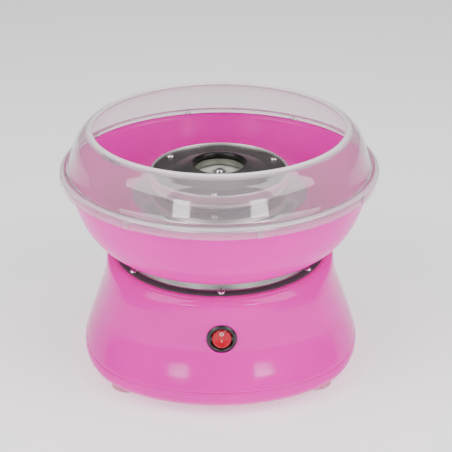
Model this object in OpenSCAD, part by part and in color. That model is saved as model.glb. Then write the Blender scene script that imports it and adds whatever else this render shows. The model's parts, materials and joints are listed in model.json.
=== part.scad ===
// Cotton candy machine: a flared base, a steel top plate, a heater drum with a spinning
// sugar head, a bowl and a clear splash guard. The origin is on the ground below the
// spindle, +Z points up and the switch faces -Y.

/* [Overall] */
// Diameter of the guard brim, the widest part
guard_d = 261; // [258:0.5:264]
// Height from the ground to the top of the guard
total_h = 207; // [204:1:214]
// Wall of the moulded shells
wall = 2.6; // [2.2:0.1:3]

/* [Base] */
// Half width of the base across its sides, at the widest level
base_half = 118.2; // [116:0.1:119]
// Half depth of the base from front to back, at the widest level
end_half = 115.8; // [114:0.1:117]
// Bulge of the base corners beyond the sides
corner_bulge = 5.8; // [5:0.1:7]
// Height of the shoulder that carries the steel plate
shoulder_z = 97; // [95:0.5:99]
// Height of the parting line between housing and cover
parting_z = 23; // [21:0.5:24]
// Height of the underside of the cover
floor_z = 5; // [4:0.5:6]

/* [Feet] */
// Radius of a suction cup
foot_r = 14; // [12:0.5:15]
// Distance of the feet from the middle, sideways
foot_x = 78; // [72:1:80]
// Distance of the feet from the middle, front to back
foot_y = 64; // [58:1:66]

/* [Top plate] */
// Radius of the plate rim
plate_r = 89.5; // [88:0.5:90.5]
// Thickness of the sheet steel
sheet = 1.2; // [1:0.1:1.5]
// Radius of the raised plateau
plateau_r = 80.5; // [79:0.5:81]
// Height of the plateau
plateau_z = 106.2; // [105.5:0.1:107]

/* [Bowl and guard] */
// Radius of the hole in the bowl floor
bowl_hole_r = 78.3; // [78:0.1:79]
// Height of the bowl rim
bowl_rim_z = 169.2; // [168.5:0.1:170]
// Wall of the bowl
bowl_wall = 2.4; // [2:0.1:2.8]
// Radius of the guard opening
guard_hole_r = 102; // [98:0.5:104]
// Wall of the guard
guard_wall = 2; // [1.6:0.1:2.4]
// Number of clips around the guard skirt
clip_count = 8; // [4:1:8]

/* [Head and heater] */
// Radius of the spinning head
head_r = 57; // [54:0.5:58]
// Height of the flat top of the head
head_z = 166; // [165:0.5:167]
// Radius of the sugar hole
sugar_r = 21; // [18:0.5:22]
// Largest radius of the heater drum
drum_r = 77; // [75:0.5:77.2]
// Height of the shoulder of the drum
drum_z = 150; // [148:0.5:151]
// Radius of the heating ring
heater_r = 40; // [36:1:42]
// Number of slots that the sugar is thrown through
slot_count = 36; // [24:4:40]

/* [Motor] */
// Radius of the motor can
motor_r = 21; // [19:0.5:23]
// Height of the top of the motor can
motor_top_z = 92; // [90:0.5:93]
// Length of the motor can
motor_l = 56; // [50:1:58]
// Radius of the spindle
shaft_r = 3; // [2.5:0.25:3.5]

/* [Switch] */
// Radius of the switch bezel
bezel_r = 12.1; // [11:0.1:13]
// Height of the switch above the ground
switch_z = 64.4; // [62:0.1:67]
// Lean of the switch panel from upright, in degrees
switch_lean = 0; // [0:0.5:2]

/* [Hidden] */
$fn = 96;

// A closed shape is cut this much past a face, so that no skin is left.
cut = 1;
// Gap between pieces that move past each other.
gap = 0.3;

steel = "#c9c9c4";
dark_steel = "#6f6f6b";
pink = "#ff63c8";
smoke = "#e8eef0";

// Smooth curve through a list of points, with n steps in each stretch.
function spline_at(a, b, c, d, t) =
    0.5 * (2 * b + (c - a) * t + (2 * a - 5 * b + 4 * c - d) * t * t
    + (3 * b - a - 3 * c + d) * t * t * t);
function curve(p, n = 3) = let (last = len(p) - 1) [
    for (i = [0:last - 1], s = [0:n - 1])
        spline_at(p[max(i - 1, 0)], p[i], p[i + 1], p[min(i + 2, last)], s / n),
    p[last]];

// The same line moved sideways by t, to the left of its direction.
function unit(v) = v / norm(v);
function aside(p, t) = let (last = len(p) - 1) [
    for (i = [0:last])
        let (d = unit(p[min(i + 1, last)] - p[max(i - 1, 0)])) p[i] + t * [-d[1], d[0]]];
function backwards(p) = [for (i = [len(p) - 1:-1:0]) p[i]];
function band(p, t) = concat(p, backwards(aside(p, t)));

module turned(points) {
    rotate_extrude() polygon(points);
}

module at_angles(angles, r, z = 0) {
    for (a = angles) rotate([0, 0, a]) translate([r, 0, z]) children();
}

// Tube or plain washer, standing on z.
module ring(r_out, r_in, z, h) {
    translate([0, 0, z]) difference() {
        cylinder(r = r_out, h = h);
        translate([0, 0, -cut]) cylinder(r = r_in, h = h + 2 * cut);
    }
}

// Thin wire: a tube with flat sides, swept along a smooth line through the points.
wire_sides = 6;
wire_steps = 2;
function heading(p, i) = unit(p[min(i + 1, len(p) - 1)] - p[max(i - 1, 0)]);
function wire_ring(p, i, r) =
    let (d = heading(p, i), u = unit(cross(d, [1, 0.3, 0.1])), v = cross(d, u)) [
        for (k = [0:wire_sides - 1])
            p[i] + r * (cos(k * 360 / wire_sides) * u + sin(k * 360 / wire_sides) * v)];
module wire(points, r) {
    line = curve(points, wire_steps);
    last = len(line) - 1;
    sides = [for (i = [0:last - 1], k = [0:wire_sides - 1])
        let (a = i * wire_sides + k, b = i * wire_sides + (k + 1) % wire_sides)
            [a, b, b + wire_sides, a + wire_sides]];
    polyhedron(
        points = [for (i = [0:last]) each wire_ring(line, i, r)],
        faces = concat(
            sides,
            [[for (k = [wire_sides - 1:-1:0]) k]],
            [[for (k = [0:wire_sides - 1]) last * wire_sides + k]]));
}

// Pan-head screw with a cross recess. The underside of its head is at z = 0.
module pan_screw(shank_r, shank_l, head_r, head_h) {
    difference() {
        union() {
            rotate_extrude() polygon([
                [0, 0], [head_r, 0], [head_r, head_h * 0.45], [head_r * 0.86, head_h * 0.8],
                [head_r * 0.5, head_h], [0, head_h]]);
            translate([0, 0, -shank_l]) cylinder(r = shank_r, h = shank_l);
        }
        for (a = [0, 90]) rotate([0, 0, a]) translate([0, 0, head_h])
            cube([head_r * 1.1, head_r * 0.26, head_h * 0.9], center = true);
    }
}

// ---- outlines of the base ----

// The foot of every outline, as a step from its widest radius against height.
function tuck(r) = [
    [r - 12.3, floor_z], [r - 9.8, 6], [r - 6.4, 8], [r - 3, 11], [r - 0.9, 14], [r, 18]];
// Left, right and rear sides of the base.
function side_line(r) = concat(tuck(r), [
    [r - 1.6, 24], [r - 4.2, 32], [r - 7.9, 42], [r - 12, 54], [r - 16.3, 66], [r - 20.1, 78],
    [r - 21.4, 88], [r - 21.8, shoulder_z]]);
// The front is upright around the switch and runs out to the foot below it.
front_line = concat(tuck(end_half), [
    [end_half - 1.9, 25], [end_half - 5, 32], [end_half - 8.6, 39], [end_half - 12, 46],
    [end_half - 14.6, 53], [end_half - 16, 60], [end_half - 16.5, 68],
    [end_half - 16.9, 78], [end_half - 17.6, 88], [end_half - 19.3, shoulder_z]]);
// Corners of the base, which are turned about the spindle.
corner_r = base_half + corner_bulge;
corner_line = concat(tuck(corner_r), [
    [corner_r - 1.6, 24], [corner_r - 4.4, 30], [corner_r - 10.1, 42], [corner_r - 14.9, 54],
    [corner_r - 17.9, 66], [corner_r - 20.5, 78], [corner_r - 22.6, 84],
    [corner_r - 26, 91], [corner_r - 30.7, shoulder_z]]);
// A side is turned about an axis this far behind the spindle, so that it bows gently.
side_bow = 60;
front_bow = 38;

// Solid under an outline, turned about an axis that lies back by bow. t is the inset.
module bowed(line, bow, t) {
    translate([-bow, 0, 0]) turned(concat(
        [[0, floor_z]],
        [for (q = curve(line, 2)) [q[0] + bow - t, q[1]]],
        [[0, shoulder_z]]));
}

// Solid of the whole base, t inside its surface.
module base_solid(t) {
    intersection() {
        bowed(corner_line, 0, t);
        bowed(side_line(base_half), side_bow, t);
        rotate([0, 0, 90]) bowed(side_line(end_half), side_bow, t);
        rotate([0, 0, 180]) bowed(side_line(base_half), side_bow, t);
        rotate([0, 0, -90]) bowed(front_line, front_bow, t);
    }
}

module layer(z0, z1) {
    translate([-150, -150, z0]) cube([300, 300, z1 - z0]);
}

foot_spots = [[-foot_x, -foot_y], [foot_x, -foot_y], [-foot_x, foot_y], [foot_x, foot_y]];
post_x = 75;
post_y = 33;
post_spots = [[-post_x, -post_y], [post_x, -post_y], [-post_x, post_y], [post_x, post_y]];
post_foot_z = 26;
inner_floor_z = floor_z + 2.5;
ledge_z = shoulder_z - 3;
ledge_hole_r = 77;
plate_screw_r = 86.1;
plate_screw_angles = [35, 90, 145, 215, 270, 325];

board_z = 22;
board_at = [-38, 58];
board_size = [52, 34, 1.6];
block_at = [34, 70];
gland_z = 34.5;
gland_y = 113.4;
gland_pad = 10;

// ---- base ----

module base_housing() color(pink) difference() {
    union() {
        difference() {
            intersection() {
                base_solid(0);
                layer(parting_z, shoulder_z);
            }
            intersection() {
                base_solid(wall);
                layer(parting_z - cut, ledge_z);
            }
        }
        for (s = post_spots) translate([s[0], s[1], post_foot_z])
            cylinder(r = 4.5, h = ledge_z - post_foot_z + 1);
        at_angles(plate_screw_angles, plate_screw_r, ledge_z - 10)
            cylinder(r = 3.6, h = 11);
        // pads that the switch and the cord bush are seated on
        in_switch() translate([0, 0, -3]) cylinder(r = bezel_r + 1.4, h = 3);
        translate([0, gland_y - gland_pad, gland_z]) rotate([-90, 0, 0])
            cylinder(r = 11, h = gland_pad);
    }
    translate([0, 0, ledge_z - cut]) cylinder(r = ledge_hole_r, h = 3 + 2 * cut);
    for (s = post_spots) translate([s[0], s[1], post_foot_z - cut])
        cylinder(r = 1.6, h = 16 + cut);
    at_angles(plate_screw_angles, plate_screw_r, ledge_z - 8) cylinder(r = 1.5, h = 12);
    in_switch() {
        cylinder(r = bezel_r + 0.1, h = 10);
        translate([0, 0, -20]) cylinder(r = barrel_r + 0.1, h = 30);
    }
    translate([0, gland_y - 20, gland_z]) rotate([-90, 0, 0]) cylinder(r = 6.6, h = 30);
}

module bottom_cover() color(pink) difference() {
    union() {
        difference() {
            intersection() {
                base_solid(0);
                layer(floor_z, parting_z);
            }
            intersection() {
                base_solid(wall);
                layer(inner_floor_z, parting_z + cut);
            }
        }
        for (s = post_spots) translate([s[0], s[1], inner_floor_z - 0.5])
            cylinder(r = 5, h = post_foot_z - inner_floor_z + 0.5);
        for (s = board_posts()) translate([s[0], s[1], inner_floor_z - 0.5])
            cylinder(r = 3.5, h = board_z - inner_floor_z + 0.5);
        translate([block_at[0] - 17, block_at[1] - 8, inner_floor_z - 0.5])
            cube([34, 16, 4.5]);
    }
    for (s = foot_spots) translate([s[0], s[1], 0]) cylinder(r = 4.6, h = 20);
    for (s = post_spots) translate([s[0], s[1], 0]) {
        cylinder(r = 3.6, h = 20);
        cylinder(r = 1.9, h = 40);
    }
    for (s = board_posts()) translate([s[0], s[1], inner_floor_z + 2]) cylinder(r = 1.1, h = 30);
    for (row = [-4:4]) translate([row * 8 - 2, -28, 0]) cube([4, 56, 12]);
}

// Suction cup with a button that is pressed through the cover.
module foot(spot) {
    color("#f3b9cf") translate([spot[0], spot[1], 0]) turned([
        [0, 3.2], [7, 2.4], [foot_r - 1.6, 0], [foot_r, 0], [foot_r - 0.4, 1.3],
        [9, 3.6], [6.8, floor_z], [4.5, floor_z], [4.5, inner_floor_z], [5.8, inner_floor_z],
        [5.4, 10.2], [3.6, 12], [0, 12]]);
}

module foot_front_left() foot(foot_spots[0]);
module foot_front_right() foot(foot_spots[1]);
module foot_rear_left() foot(foot_spots[2]);
module foot_rear_right() foot(foot_spots[3]);

module cover_screws() color(steel)
    for (s = post_spots) translate([s[0], s[1], 20]) mirror([0, 0, 1])
        pan_screw(1.6, 18, 3.1, 2.4);

module cord_gland() color("#1b1b1b") difference() {
    union() {
        translate([0, gland_y - 14, gland_z]) rotate([-90, 0, 0]) cylinder(r = 6.5, h = 15);
        translate([0, gland_y, gland_z]) rotate([-90, 0, 0])
            rotate_extrude() polygon([[0, 0], [9, 0], [9, 1.8], [7.2, 3.6], [0, 3.6]]);
    }
    translate([0, gland_y - 16, gland_z]) rotate([-90, 0, 0]) cylinder(r = 3.4, h = 24);
}

module gland_nut() color("#262626") translate([0, gland_y - gland_pad - 3.6, gland_z])
    rotate([-90, 0, 0]) difference() {
        cylinder(r = 9.2, h = 3.6, $fn = 6);
        translate([0, 0, -cut]) cylinder(r = 6.5, h = 6, $fn = 48);
    }

// ---- top plate ----

vent_r = 56;
mount_r = 30;

module top_plate() color(steel) difference() {
    turned(band([
        [0, plateau_z], [plateau_r - 1.4, plateau_z], [plateau_r - 0.4, plateau_z - 0.5],
        [plateau_r + 1.6, shoulder_z + 2.1], [plateau_r + 2.6, shoulder_z + sheet],
        [plate_r - 0.5, shoulder_z + sheet], [plate_r, shoulder_z + 0.9]], -sheet));
    translate([0, 0, plateau_z - 10]) cylinder(r = 11, h = 20);
    at_angles(plate_screw_angles, plate_screw_r, shoulder_z - 5) cylinder(r = 1.8, h = 10);
    at_angles([45:90:315], mount_r, plateau_z - 10) cylinder(r = 2.1, h = 20);
    at_angles([90:120:330], drum_screw_r, plateau_z - 10) cylinder(r = 1.8, h = 20);
    at_angles([0:15:345], vent_r, plateau_z - 10) cylinder(r = 2.5, h = 20, $fn = 24);
    translate([wire_hole[0], wire_hole[1], plateau_z - 10]) cylinder(r = 6.1, h = 20);
}

module plate_screws() color("#e6e6e2")
    at_angles(plate_screw_angles, plate_screw_r, shoulder_z + sheet)
        pan_screw(1.5, 8, 3, 2);

// ---- heater drum and heater ----

drum_screw_r = 67;
drum_hole_r = 52;
wire_hole = [0, 42];
post_angles = [30, 150, 270];
mica_z = 134;
heater_z = 147;
heater_tube_r = 3.5;
leg_angles = [80, 100];

// Outer surface of the drum, from its foot flange to the edge of its mouth.
drum_line = [
    [61, plateau_z], [73, plateau_z], [75.2, plateau_z + 2], [75.4, plateau_z + 8],
    [drum_r - 0.6, 122], [drum_r, 133], [drum_r - 0.5, 141], [drum_r - 2, drum_z - 4.5],
    [drum_r - 4.6, drum_z - 1.2], [drum_r - 8, drum_z], [drum_hole_r + 8, drum_z + 1.2],
    [drum_hole_r, drum_z + 1.8]];

module heater_drum() color(steel) difference() {
    union() {
        turned(band(drum_line, 1));
        translate([0, 0, drum_z - 1.7]) rotate_extrude()
            translate([drum_r - 4.2, 0]) circle(r = 0.7, $fn = 24);
    }
    at_angles([90:120:330], drum_screw_r, plateau_z - 5) cylinder(r = 1.8, h = 12);
}

module drum_screws() color("#e6e6e2")
    at_angles([90:120:330], drum_screw_r, plateau_z + 1) pan_screw(1.6, 6, 3.2, 2);

// Ceramic posts, each with a saddle that the ring heater lies in.
module ceramic_posts() color("#efe9da") difference() {
    at_angles(post_angles, heater_r, plateau_z) {
        cylinder(r = 6, h = mica_z - plateau_z);
        cylinder(r = 3.8, h = heater_z - 1 - plateau_z);
    }
    translate([0, 0, heater_z]) rotate_extrude()
        translate([heater_r, 0]) circle(r = heater_tube_r, $fn = 32);
}

module mica_disc() color("#b39a6a") difference() {
    ring(48, 9, mica_z, 1.6);
    at_angles(post_angles, heater_r, mica_z - cut) cylinder(r = 3.9, h = 5);
    at_angles(leg_angles, heater_r, mica_z - cut) cylinder(r = 4.2, h = 5);
}

module heat_reflector() color("#d8d8d6") difference() {
    turned([
        [10, mica_z + 1.6], [46, mica_z + 1.6], [50, mica_z + 4.6], [49.2, mica_z + 5.2],
        [45.6, mica_z + 2.5], [10, mica_z + 2.5]]);
    at_angles(post_angles, heater_r, mica_z) cylinder(r = 3.9, h = 5);
    at_angles(leg_angles, heater_r, mica_z) cylinder(r = 4.2, h = 5);
}

// Tubular ring heater. Its two legs turn down through the reflector.
module heater_ring() color("#4b4640") {
    translate([0, 0, heater_z]) rotate_extrude()
        translate([heater_r, 0]) circle(r = heater_tube_r, $fn = 32);
    for (a = leg_angles) rotate([0, 0, a]) translate([heater_r, 0, 0]) {
        translate([0, 0, 122]) cylinder(r = heater_tube_r - 0.5, h = heater_z - 122);
        translate([0, 0, 116]) cylinder(r = 1.4, h = 7);
    }
}

module thermal_cutoff() color("#20201f") translate([30, -14, mica_z]) mirror([0, 0, 1]) {
    cylinder(r = 8, h = 5);
    for (x = [-4, 4]) translate([x - 1.6, -0.4, 0]) cube([3.2, 0.8, 12]);
}

module thermal_fuse() color("#d9d9cf") translate([-34, 6, mica_z - 2.4]) rotate([90, 0, 0]) {
    cylinder(r = 2.4, h = 12);
    translate([0, 0, -8]) cylinder(r = 0.6, h = 28, $fn = 16);
}

// ---- motor ----

motor_foot_z = motor_top_z - motor_l;
magnet_z = motor_foot_z + 14;
magnet_h = 32;
can_wall = 1.4;
bearing_r = 6;
cap_h = 6;
commutator_z = motor_foot_z + 2;

module motor_can() color("#8d8f91") difference() {
    union() {
        translate([0, 0, motor_foot_z]) cylinder(r = motor_r, h = motor_l);
        translate([0, 0, motor_top_z]) cylinder(r = bearing_r + 2.4, h = 3);
    }
    translate([0, 0, motor_foot_z - cut])
        cylinder(r = motor_r - can_wall, h = motor_l - 2 + cut);
    translate([0, 0, motor_top_z - 10]) cylinder(r = bearing_r, h = 20);
    for (x = [-14, 14]) translate([x, 0, motor_top_z - 5]) cylinder(r = 1.5, h = 12);
    for (a = [45:90:315]) rotate([0, 0, a]) translate([motor_r - 4, -4, motor_top_z - 9])
        cube([10, 8, 5]);
}

module motor_end_cap() color("#2a2a2c") difference() {
    union() {
        translate([0, 0, motor_foot_z - cap_h + 2]) cylinder(r = motor_r, h = cap_h - 2);
        translate([0, 0, motor_foot_z]) cylinder(r = motor_r - can_wall, h = 1.4);
        translate([0, 0, motor_foot_z - cap_h]) cylinder(r = bearing_r + 2.4, h = cap_h);
    }
    translate([0, 0, motor_foot_z - cap_h - cut]) cylinder(r = bearing_r, h = cap_h + 4);
    for (a = [0:45:315]) rotate([0, 0, a]) translate([12, -1.5, 0]) cube([5, 3, 100]);
}

module motor_magnets() color("#3a3a3c") for (a = [0, 180])
    rotate([0, 0, a]) translate([0, 0, magnet_z])
        rotate_extrude(start = -65, angle = 130) translate([motor_r - can_wall - 3, 0])
            square([3, magnet_h]);

module bearing(z, h) {
    ring(bearing_r, shaft_r + 0.05, z, h);
}

module upper_bearing() color("#b08d57") bearing(motor_top_z - 2, 5);
module lower_bearing() color("#b08d57") bearing(motor_foot_z - cap_h, cap_h);

brush_z = commutator_z + 2;
module brushes() color("#2f2f33") for (a = [0, 180]) rotate([0, 0, a])
    translate([commutator_r + gap, -2, brush_z]) cube([6, 4, 5]);

// Coil springs behind the brushes, drawn as their outer sleeves.
module brush_springs() color("#b9a36b") for (a = [0, 180]) rotate([0, 0, a])
    translate([commutator_r + gap + 6, 0, brush_z + 2.5]) rotate([0, 90, 0]) difference() {
        union() {
            cylinder(r = 1.5, h = motor_r - can_wall - commutator_r - gap - 6.05, $fn = 32);
            for (x = [0.6:1.2:5.5]) translate([0, 0, x]) cylinder(r = 1.9, h = 0.6, $fn = 32);
        }
        translate([0, 0, -cut]) cylinder(r = 1, h = 20, $fn = 32);
    }

module motor_bracket() color("#a9abad") difference() {
    union() {
        translate([0, 0, motor_top_z]) cylinder(r = 23, h = 1.5);
        for (a = [45, 135]) rotate([0, 0, a]) translate([-mount_r - 7, -7, motor_top_z])
            cube([2 * mount_r + 14, 14, 1.5]);
    }
    translate([0, 0, motor_top_z - cut]) cylinder(r = bearing_r + 2.4, h = 5);
    for (x = [-14, 14]) translate([x, 0, motor_top_z - cut]) cylinder(r = 1.6, h = 5);
    at_angles([45:90:315], mount_r, motor_top_z - cut) cylinder(r = 3, h = 5);
}

module motor_screws() color(steel) for (x = [-14, 14])
    translate([x, 0, motor_top_z + 1.5]) pan_screw(1.5, 5, 2.8, 2);

// Rubber bushes between the bracket and the plate, which keep the hum out of the case.
module rubber_mounts() color("#191919")
    at_angles([45:90:315], mount_r) difference() {
        translate([0, 0, motor_top_z - 3]) {
            cylinder(r = 6, h = 3);
            cylinder(r = 3, h = 6);
            translate([0, 0, 4.5]) cylinder(r = 6, h = plateau_z - sheet - motor_top_z - 1.5);
        }
        translate([0, 0, motor_top_z - 5]) cylinder(r = 2, h = 30);
    }

module bracket_screws() color(steel)
    at_angles([45:90:315], mount_r, plateau_z) {
        pan_screw(2, plateau_z - motor_top_z + 8, 3.6, 2.4);
        translate([0, 0, motor_top_z - 3 - plateau_z]) rotate([180, 0, 0]) difference() {
            cylinder(r = 4, h = 3, $fn = 6);
            translate([0, 0, -cut]) cylinder(r = 1.9, h = 5);
        }
    }

// Heat-proof sleeve that the spindle turns in, between the plate and the reflector.
module shaft_sleeve() color("#e9e2d2") {
    ring(6.6, shaft_r + 1, plateau_z - sheet, mica_z - plateau_z);
    ring(14, 6.6, plateau_z, 1.5);
}

// ---- spinning parts ----

commutator_r = 6.5;
spindle_foot_z = 12;
hub_z = 141;
hub_h = 13;
dish_floor_z = hub_z + hub_h;
dish_top_z = head_z - 2.2;

module spindle() color("#d6d6d6") difference() {
    union() {
        translate([0, 0, spindle_foot_z])
            cylinder(r = shaft_r, h = dish_top_z - spindle_foot_z);
        ring(bearing_r - 1.6, shaft_r - 0.5, motor_top_z + 3 + gap, 1.2);
    }
    translate([0, 0, dish_top_z - 9.5]) cylinder(r = 1.25, h = 20);
    translate([0, 0, hub_z + 4]) rotate([90, 0, 0])
        translate([0, 0, -10]) cylinder(r = 1.25, h = 20);
}

module drive_pin() color("#9b9b9b") translate([0, 0, hub_z + 4]) rotate([90, 0, 0])
    translate([0, 0, -8]) cylinder(r = 1.25, h = 16);

module armature() color("#9c5a34") difference() {
    ring(motor_r - can_wall - 3.6, shaft_r, magnet_z + 2, magnet_h - 4);
    for (a = [0:360 / 7:359]) rotate([0, 0, a]) translate([8, -1.4, magnet_z])
        cube([12, 2.8, magnet_h]);
}

module commutator() color("#c07a45") difference() {
    ring(commutator_r, shaft_r, commutator_z, 10);
    for (a = [0:360 / 7:359]) rotate([0, 0, a]) translate([5, -0.3, commutator_z - cut])
        cube([4, 0.6, 9]);
}

module cooling_fan() color("#e8e8e6") {
    ring(7, shaft_r, spindle_foot_z + 1, 10);
    for (a = [0:360 / 7:359]) rotate([0, 0, a]) translate([5.6, 0, spindle_foot_z + 6])
        rotate([38, 0, 0]) translate([0, -5, -0.6]) cube([18, 10, 1.2]);
}

module head_hub() color("#bcbcb8") difference() {
    union() {
        translate([0, 0, hub_z]) cylinder(r = 7.5, h = hub_h);
        translate([0, 0, dish_floor_z - 2]) cylinder(r = 12, h = 2);
    }
    translate([0, 0, hub_z - cut]) cylinder(r = shaft_r, h = hub_h + 2 * cut);
    translate([0, 0, hub_z + 4]) rotate([90, 0, 0])
        translate([0, 0, -10]) cylinder(r = 1.25, h = 20);
}

band_r = 53;
band_z = head_z - 5.6;
band_h = 2.6;
cover_t = 1.6;
rim_screw_r = 50.6;
// The head stands where it was last stopped, a little off square to the switch.
rim_screw_angles = [24.7, 144.7, 264.7];

// Lower half of the head: the heated sugar dish.
module head_dish() color("#a7a7a2") difference() {
    turned([
        [shaft_r, dish_floor_z], [24, dish_floor_z], [44, band_z - 2.4],
        [band_r + 0.6, band_z - 2.4], [head_r - 0.6, band_z - 3.2], [head_r, band_z - 2.6],
        [head_r, band_z - 0.6], [band_r + 1.6, band_z], [46, band_z],
        [20, band_z + 1.4], [9, band_z + 2], [6.5, dish_top_z], [shaft_r, dish_top_z]]);
    at_angles(rim_screw_angles, rim_screw_r, band_z - 10) cylinder(r = 1.6, h = 20);
}

// Perforated band between dish and cover, through which the sugar is thrown out.
module slot_band() color("#8a8a86") difference() {
    ring(band_r, band_r - 5, band_z, band_h);
    at_angles([0:360 / slot_count:359], band_r - 6, band_z + 0.7)
        translate([0, -0.7, 0]) cube([10, 1.4, 1.2]);
    at_angles(rim_screw_angles, rim_screw_r, band_z - cut) cylinder(r = 1.6, h = 6);
}

// Upper half of the head: a flat ring with a raised rim and a cone around the sugar hole.
// A funnel goes down from the hole and leaves a narrow slit above the dish.
rim_h = 1.8;
cone_h = 6.7;
slit_z = 2.4;
module head_cover() color(dark_steel) difference() {
    turned([
        [sugar_r - 1.4, band_z + slit_z], [sugar_r - 0.2, band_z + slit_z],
        [sugar_r + 1.2, head_z + 1], [sugar_r + 2, head_z + cone_h - 2],
        [sugar_r + 3.2, head_z + cone_h - 1.8], [38, head_z - cover_t], [band_r - 5, head_z - cover_t],
        [band_r - 5, band_z + band_h], [band_r, band_z + band_h], [band_r, head_z - cover_t],
        [head_r - 1.4, head_z - cover_t], [head_r - 1.4, band_z + 1.2],
        [head_r - 0.4, band_z + 1.2], [head_r, band_z + 1.6],
        [head_r, head_z + rim_h - 0.4], [head_r - 0.4, head_z + rim_h],
        [head_r - 1, head_z + rim_h], [head_r - 1.4, head_z + rim_h - 0.4],
        [head_r - 1.4, head_z], [39, head_z],
        [sugar_r + 4, head_z + cone_h - 0.4], [sugar_r + 2, head_z + cone_h],
        [sugar_r + 0.5, head_z + cone_h - 0.8], [sugar_r, head_z + cone_h - 2.2]]);
    at_angles(rim_screw_angles, rim_screw_r, head_z - 10) cylinder(r = 1.6, h = 20);
}

module head_screws() color("#e2e2de")
    at_angles(rim_screw_angles, rim_screw_r, head_z) pan_screw(1.55, 11.4, 3.2, 2.2);

module head_nuts() color(steel) at_angles(rim_screw_angles, rim_screw_r, band_z - 5)
    difference() {
        cylinder(r = 3.1, h = 2.6, $fn = 6);
        translate([0, 0, -cut]) cylinder(r = 1.55, h = 5, $fn = 48);
    }

module centre_screw() color("#e2e2de") translate([0, 0, dish_top_z + 1]) {
    pan_screw(1.25, 9, 3.4, 2.2);
    ring(5.5, 1.25, -1, 1);
}

// ---- bowl and guard ----

bowl_foot_z = plateau_z + gap;
bowl_line = [
    [bowl_hole_r, bowl_foot_z], [bowl_hole_r + 4, bowl_foot_z],
    [86.4, bowl_foot_z + 0.9], [94, bowl_foot_z + 3.6], [102.9, 116], [110.3, 125],
    [115.6, 135], [119.2, 145], [122.2, 155], [124.6, 164], [125.3, bowl_rim_z - 1.6]];
lip_out = 127.9;

module bowl() color(pink) union() {
    turned(concat(
        curve(bowl_line, 2),
        [[lip_out - 0.6, bowl_rim_z - 1.6], [lip_out, bowl_rim_z - 1], [lip_out, bowl_rim_z],
        [lip_out - 0.6, bowl_rim_z + 0.6], [124, bowl_rim_z + 0.6],
        [123.2, bowl_rim_z - 0.2]],
        backwards([for (q = aside(curve(bowl_line, 2), bowl_wall))
            if (q[1] < bowl_rim_z - 2.4) q])));
    ring(bowl_hole_r + 2.4, bowl_hole_r, bowl_foot_z + 1, 5);
}

guard_r = guard_d / 2;
brim_z = bowl_rim_z + 5;
dome_line = [
    [guard_hole_r + 3, total_h - 0.9], [guard_hole_r + 5.4, 205.4],
    [guard_hole_r + 8.3, 203], [guard_hole_r + 12.2, 199], [guard_hole_r + 15.6, 193],
    [guard_hole_r + 18.3, 186], [guard_hole_r + 20.7, 179.5],
    [guard_hole_r + 22.6, brim_z + 1.6]];
// Height of the underside of the brim
under_z = brim_z - 1.4;
skirt_z = brim_z - 8;
clip_angles = [12.5:360 / clip_count:371];
lug_angle = 220;

module guard() color(smoke, 0.45) union() {
    turned(concat(
        curve(dome_line, 3),
        [[guard_r - 3.6, brim_z + 0.7], [guard_r - 1.2, brim_z], [guard_r, brim_z - 1.8],
        [guard_r, skirt_z], [guard_r - guard_wall, skirt_z],
        [guard_r - guard_wall, under_z - 0.8], [guard_r - 3.4, under_z],
        [guard_hole_r + 21.4, under_z]],
        backwards([for (q = aside(curve(dome_line, 3), -guard_wall))
            if (q[1] > brim_z + 0.9 && q[1] < total_h - 3) q])));
    translate([0, 0, total_h - 1.7]) rotate_extrude()
        translate([guard_hole_r + 1.7, 0]) circle(r = 1.7, $fn = 32);
    at_angles(clip_angles, guard_r - 0.6, skirt_z)
        translate([0, -2.6, 0]) cube([1.2, 5.2, 6.6]);
    // rests that stand on the rim of the bowl
    at_angles(clip_angles, guard_r - 6, bowl_rim_z + 0.6 + gap)
        translate([0, -2.6, 0]) cube([3, 5.2, under_z - bowl_rim_z]);
    rotate([0, 0, lug_angle - 5.5]) difference() {
        translate([0, 0, total_h - 4.9]) rotate_extrude(angle = 11)
            translate([guard_hole_r + 1.2, 0]) square([5, 3.6]);
        rotate([0, 0, 4.3]) translate([0, 0, total_h - 4]) rotate_extrude(angle = 2.4)
            translate([guard_hole_r, 0]) square([10, 1.2]);
    }
}

// ---- switch ----

barrel_r = 10;
panel_y = 99;
rocker_half = 8.6;
rocker_r = 7.7;
rocker_tilt = 9;
pin_sink = 1.6;
pin_r = 1;

// Frame of the switch: its own +Z points straight out of the front panel.
module in_switch() {
    translate([0, -panel_y, switch_z]) rotate([90 - switch_lean, 0, 0]) children();
}

module switch_body() color("#141416") in_switch() difference() {
    union() {
        turned([
            [0, 0], [bezel_r, 0], [bezel_r, 0.8], [bezel_r - 0.7, 1.8], [bezel_r - 1.8, 2.2],
            [0, 2.2]]);
        translate([0, 0, -17]) cylinder(r = barrel_r, h = 17.5);
        for (x = [-1, 1]) translate([x * (barrel_r - 0.4) - 0.7, -3, -9]) cube([1.4, 6, 4]);
    }
    translate([0, 0, -9]) cylinder(r = rocker_half + gap, h = 20);
    translate([-barrel_r + 0.4, 0, -pin_sink]) rotate([0, 90, 0])
        cylinder(r = pin_r + 0.3, h = 2 * barrel_r - 0.8);
}

// Red rocker: a round button with a shallow trough across it, tipped to one side.
module switch_rocker() color("#d3121c") in_switch() translate([0, 0, -pin_sink])
    rotate([-rocker_tilt, 0, 0]) difference() {
        translate([0, 0, -2.6]) cylinder(r = rocker_r, h = 8);
        translate([-20, 0, 31]) rotate([0, 90, 0]) cylinder(r = 28, h = 40);
        translate([-20, 0, 0]) rotate([0, 90, 0]) cylinder(r = pin_r, h = 40);
    }

module rocker_pin() color("#c0c0c0") in_switch() translate([0, 0, -pin_sink])
    rotate([0, 90, 0]) translate([0, 0, -rocker_half - 0.6])
        cylinder(r = pin_r, h = 2 * rocker_half + 1.2);

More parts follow.
